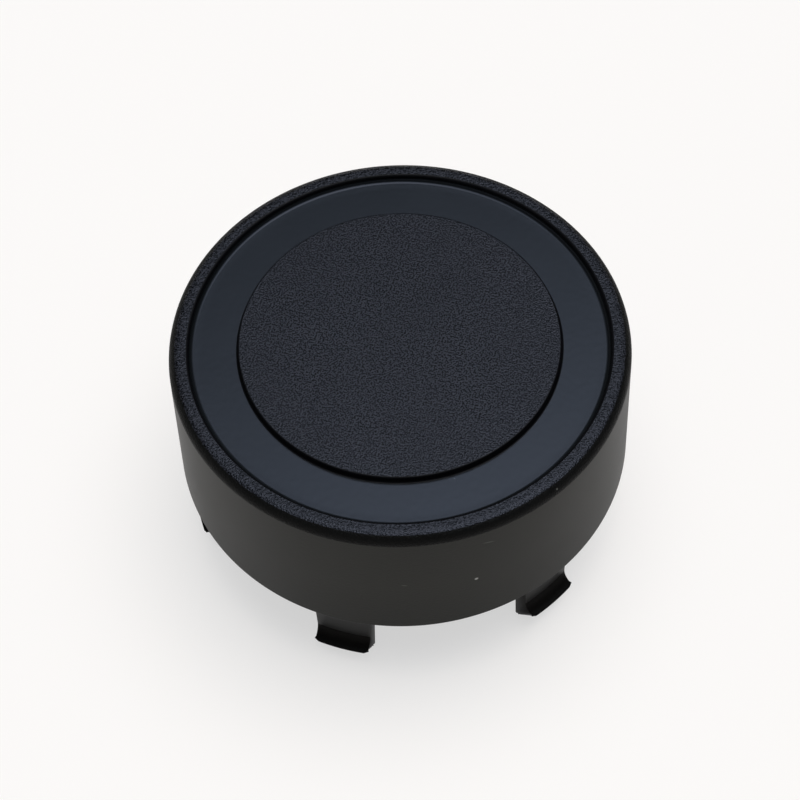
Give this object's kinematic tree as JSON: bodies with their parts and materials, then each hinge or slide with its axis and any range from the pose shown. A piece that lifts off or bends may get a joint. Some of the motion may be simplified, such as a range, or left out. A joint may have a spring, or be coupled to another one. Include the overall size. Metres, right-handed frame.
{
  "type": "wheel centre cap",
  "caption": "Deep round wheel centre cap in black plastic: sunken ring round a raised grained disc, smooth skirt, barbed snap clips below.",
  "frame": {"origin": "centre of the seat, the skirt's open edge that meets the wheel", "axes": "+Z along the wheel's axis, out of the wheel through the cap's face; one clip points along -Y"},
  "size_m": [0.0762, 0.0762, 0.0438],
  "materials": {
    "black_plastic": "moulded in colour: fine grain on the rim and the disc, satin in the sunken ring, fine matt on the skirt"
  },
  "bodies": {
    "root": {"centre_cap": "black_plastic"}
  },
  "joints": []
}
